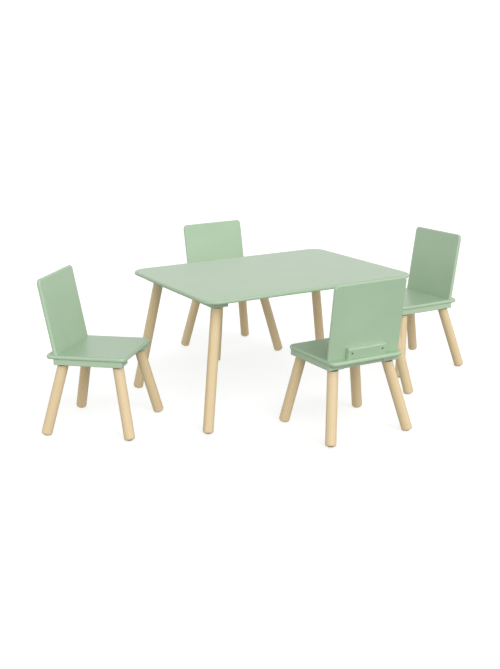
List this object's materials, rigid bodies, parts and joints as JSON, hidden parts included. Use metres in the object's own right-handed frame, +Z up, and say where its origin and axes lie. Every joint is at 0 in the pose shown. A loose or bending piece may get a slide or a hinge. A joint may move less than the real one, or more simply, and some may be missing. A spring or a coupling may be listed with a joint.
{
  "type": "kids table and chairs",
  "caption": "Low rectangular children's table with rounded painted top, round splayed wooden legs and matching chairs with leaning flat backrests.",
  "frame": {"origin": "on the floor, at the middle of the whole set's box with every chair as drawn", "axes": "+X along the table's long side, +Y along its short side, +Z up"},
  "size_m": [1.8828, 1.5634, 0.5811],
  "materials": {
    "painted_board": "satin sage-green lacquer on MDF board, with softly rounded edges",
    "natural_wood": "clear-lacquered light hardwood, turned round, grain along the leg",
    "black_nylon": "matt black nylon washers and glides",
    "zinc_steel": "dark zinc-plated steel bolts and screws"
  },
  "bodies": {
    "table": {"table_end_rail_left": "painted_board", "table_end_rail_right": "painted_board", "table_leg_back_left": "natural_wood", "table_leg_back_right": "natural_wood", "table_leg_bolts": "zinc_steel", "table_leg_front_left": "natural_wood", "table_leg_front_right": "natural_wood", "table_leg_pads": "black_nylon", "table_rail_screws": "zinc_steel", "table_top": "painted_board"},
    "left_chair": {"left_chair_back_block": "painted_board", "left_chair_backrest": "painted_board", "left_chair_cross_rail": "painted_board", "left_chair_fasteners": "zinc_steel", "left_chair_leg_front_left": "natural_wood", "left_chair_leg_front_right": "natural_wood", "left_chair_leg_pads": "black_nylon", "left_chair_leg_rear_left": "natural_wood", "left_chair_leg_rear_right": "natural_wood", "left_chair_seat": "painted_board", "left_chair_side_rail_left": "painted_board", "left_chair_side_rail_right": "painted_board"},
    "back_chair": {"back_chair_back_block": "painted_board", "back_chair_backrest": "painted_board", "back_chair_cross_rail": "painted_board", "back_chair_fasteners": "zinc_steel", "back_chair_leg_front_left": "natural_wood", "back_chair_leg_front_right": "natural_wood", "back_chair_leg_pads": "black_nylon", "back_chair_leg_rear_left": "natural_wood", "back_chair_leg_rear_right": "natural_wood", "back_chair_seat": "painted_board", "back_chair_side_rail_left": "painted_board", "back_chair_side_rail_right": "painted_board"},
    "right_chair": {"right_chair_back_block": "painted_board", "right_chair_backrest": "painted_board", "right_chair_cross_rail": "painted_board", "right_chair_fasteners": "zinc_steel", "right_chair_leg_front_left": "natural_wood", "right_chair_leg_front_right": "natural_wood", "right_chair_leg_pads": "black_nylon", "right_chair_leg_rear_left": "natural_wood", "right_chair_leg_rear_right": "natural_wood", "right_chair_seat": "painted_board", "right_chair_side_rail_left": "painted_board", "right_chair_side_rail_right": "painted_board"},
    "front_chair": {"front_chair_back_block": "painted_board", "front_chair_backrest": "painted_board", "front_chair_cross_rail": "painted_board", "front_chair_fasteners": "zinc_steel", "front_chair_leg_front_left": "natural_wood", "front_chair_leg_front_right": "natural_wood", "front_chair_leg_pads": "black_nylon", "front_chair_leg_rear_left": "natural_wood", "front_chair_leg_rear_right": "natural_wood", "front_chair_seat": "painted_board", "front_chair_side_rail_left": "painted_board", "front_chair_side_rail_right": "painted_board"}
  },
  "joints": [
    {"name": "left_chair_slide", "type": "slide", "parent": "table", "child": "left_chair", "axis": [-1, 0, 0], "range_m": [-0.15, 0.25]},
    {"name": "back_chair_slide", "type": "slide", "parent": "table", "child": "back_chair", "axis": [0, 1, 0], "range_m": [-0.3, 0.25]},
    {"name": "right_chair_slide", "type": "slide", "parent": "table", "child": "right_chair", "axis": [1, 0, 0], "range_m": [-0.15, 0.25]},
    {"name": "front_chair_slide", "type": "slide", "parent": "table", "child": "front_chair", "axis": [0, -1, 0], "range_m": [-0.25, 0.25]}
  ]
}
